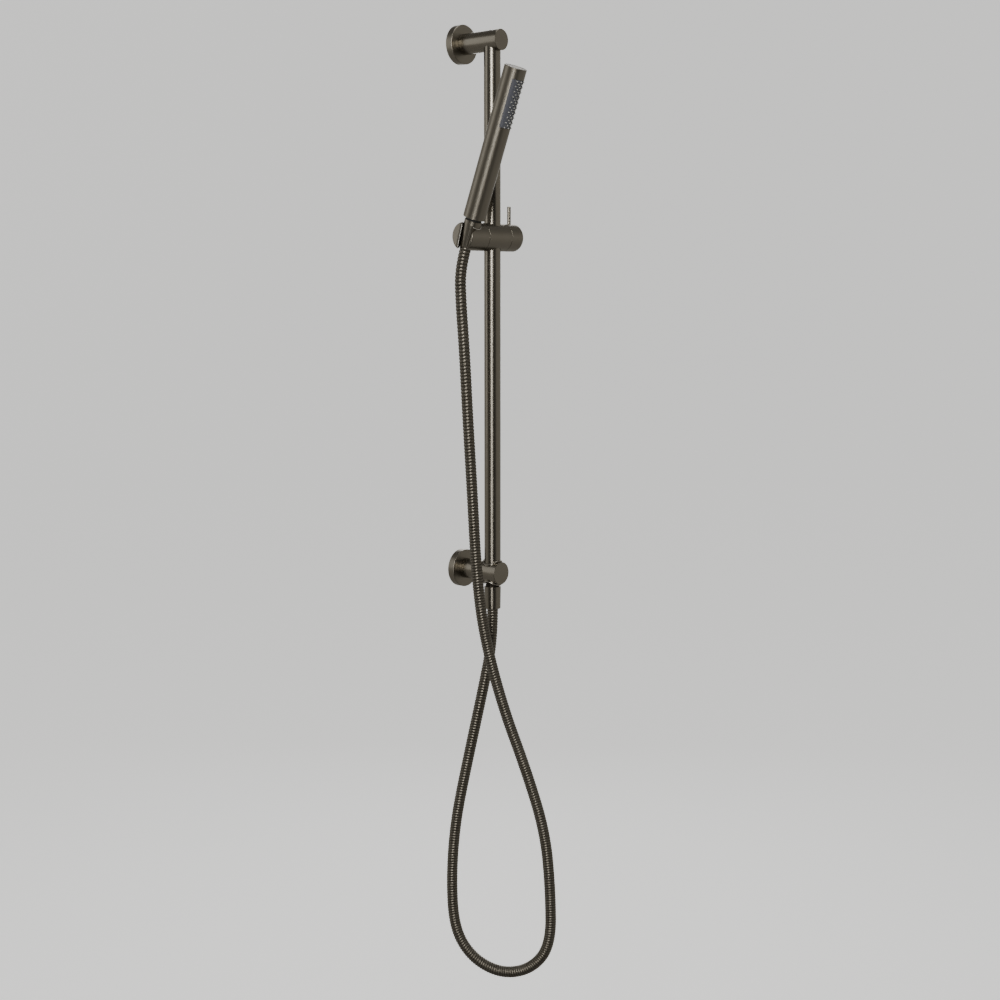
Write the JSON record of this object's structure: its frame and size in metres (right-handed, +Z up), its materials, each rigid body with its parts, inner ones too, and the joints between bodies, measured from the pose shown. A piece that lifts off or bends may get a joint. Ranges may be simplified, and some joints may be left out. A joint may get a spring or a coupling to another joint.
{
  "type": "hand shower rail set",
  "caption": "Wall-mounted hand shower set: round rail on two posts with roses, lever-clamp slider with tilting holder, slim stick handset and ribbed hose from an outlet in the lower post.",
  "frame": {"origin": "mouth of the lower bracket's water inlet, in the wall plane", "axes": "+Z up along the rail, -Y out of the wall towards the user, +X to the user's right when facing the wall"},
  "size_m": [0.1049, 0.1607, 1.2906],
  "materials": {
    "gunmetal": "brushed dark gunmetal plating",
    "hose_steel": "dark bronze-grey wound steel strip",
    "hose_liner": "flexible inner tube",
    "spray_plastic": "matt blue-grey plastic",
    "silicone": "soft light grey silicone",
    "white_plastic": "moulded acetal or polypropylene",
    "black_rubber": "black EPDM or NBR",
    "raw_brass": "turned brass",
    "screw_steel": "plain stainless steel"
  },
  "bodies": {
    "wall_rail": {"wall_plate_upper": "raw_brass", "rose_upper": "gunmetal", "rose_lower": "gunmetal", "rose_orings": "black_rubber", "post_upper": "gunmetal", "inlet_adapter": "raw_brass", "spigot_orings": "black_rubber", "post_lower": "gunmetal", "spigot_screws": "screw_steel", "outlet_nipple": "raw_brass", "valve_housing": "white_plastic", "valve_spring": "screw_steel", "outlet_washer": "black_rubber", "hose_insert_lower": "raw_brass", "hose_nut_lower": "gunmetal", "rail_tube": "gunmetal", "rail_plugs": "raw_brass", "rail_screw": "screw_steel", "hose_rear": "hose_steel", "liner_rear": "hose_liner", "hose_front": "hose_steel", "liner_front": "hose_liner"},
    "check_valve": {"valve_poppet": "white_plastic"},
    "slider_carriage": {"rail_bush": "white_plastic", "hose_swivel": "hose_steel", "liner_swivel": "hose_liner"},
    "slider_body": {"clamp_body": "gunmetal", "thread_insert": "raw_brass", "friction_washers": "white_plastic", "tilt_screw": "screw_steel", "spring_washer": "screw_steel", "hose_tilt": "hose_steel", "liner_tilt": "hose_liner"},
    "brake": {"brake_pad": "white_plastic"},
    "lock": {"lock_knob": "gunmetal", "clamp_spindle": "screw_steel", "lever_pin": "gunmetal"},
    "holder": {"handset_holder": "gunmetal", "hose_lift": "hose_steel", "liner_lift": "hose_liner"},
    "hose_end": {"hose_insert_upper": "raw_brass"},
    "handset": {"hose_nut_upper": "gunmetal", "filter_washer": "black_rubber", "nut_oring": "black_rubber", "connector": "raw_brass", "connector_oring": "black_rubber", "flow_regulator": "white_plastic", "handset_barrel": "gunmetal", "end_cap": "gunmetal", "spray_face": "spray_plastic", "spray_nozzles": "silicone", "spray_chamber": "white_plastic", "water_pipe": "white_plastic"}
  },
  "joints": [
    {"name": "check_valve_open", "type": "slide", "parent": "wall_rail", "child": "check_valve", "axis": [0, 0, -1], "range_m": [0, 0.002], "stiffness_N_per_m": 60, "springref_m": -0.002, "deforming": ["valve_spring"]},
    {"name": "slider_slide", "type": "slide", "parent": "wall_rail", "child": "slider_carriage", "axis": [0, 0, 1], "range_m": [-0.38, 0.19], "deforming": ["hose_front", "liner_front"]},
    {"name": "slider_swivel", "type": "hinge", "parent": "slider_carriage", "child": "slider_body", "pos_m": [0, -0.059, 0.448], "axis": [0, 0, 1], "range_deg": [-30, 90], "deforming": ["hose_swivel", "liner_swivel"]},
    {"name": "lock_turn", "type": "hinge", "parent": "slider_body", "child": "lock", "pos_m": [0.033, -0.059, 0.448], "axis": [1, 0, 0], "range_deg": [0, 75]},
    {"name": "brake_travel", "type": "slide", "parent": "slider_body", "child": "brake", "axis": [1, 0, 0], "range_m": [0, 0.0004]},
    {"name": "holder_tilt", "type": "hinge", "parent": "slider_body", "child": "holder", "pos_m": [-0.042, -0.059, 0.448], "axis": [1, 0, 0], "range_deg": [-25, 30], "deforming": ["hose_tilt", "liner_tilt"]},
    {"name": "handset_lift", "type": "slide", "parent": "holder", "child": "hose_end", "axis": [0, -0.3633, 0.9317], "range_m": [0, 0.035], "deforming": ["hose_lift", "liner_lift"]},
    {"name": "handset_spin", "type": "hinge", "parent": "hose_end", "child": "handset", "pos_m": [-0.0455, -0.059, 0.448], "axis": [0, -0.3633, 0.9317], "continuous": true}
  ],
  "couplings": [
    {"joint": "brake_travel", "follows": "lock_turn", "m_per_rad": 0.00023873}
  ]
}
